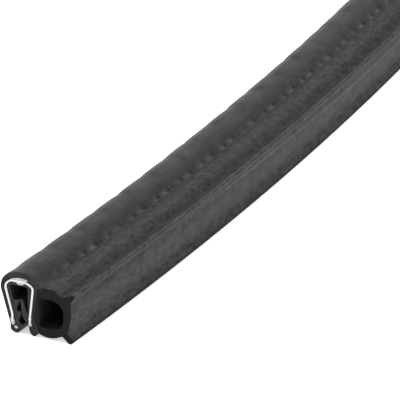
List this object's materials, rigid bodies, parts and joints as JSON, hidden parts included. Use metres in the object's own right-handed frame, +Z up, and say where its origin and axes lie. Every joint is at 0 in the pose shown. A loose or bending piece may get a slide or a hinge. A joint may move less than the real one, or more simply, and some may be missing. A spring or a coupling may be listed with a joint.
{
  "type": "edge trim seal with side bulb",
  "caption": "One metre of U-shaped rubber edge trim with a steel insert, gripping lips and a hollow sponge bulb on one side, lying in a gentle bend.",
  "frame": {"origin": "on the floor, under the middle of the part's outline", "axes": "+X along the chord of the bend, parallel to the trim at its middle; +Y towards the centre of the bend, away from the bulb; +Z up"},
  "size_m": [0.9922, 0.095, 0.015],
  "materials": {
    "dense_rubber": "satin black extruded rubber",
    "sponge_rubber": "matt black closed-cell sponge with a fine skin",
    "insert_steel": "bright cut steel strip"
  },
  "bodies": {
    "root": {"clamping_channel": "dense_rubber", "steel_insert": "insert_steel", "bulb_seal": "sponge_rubber"}
  },
  "joints": []
}
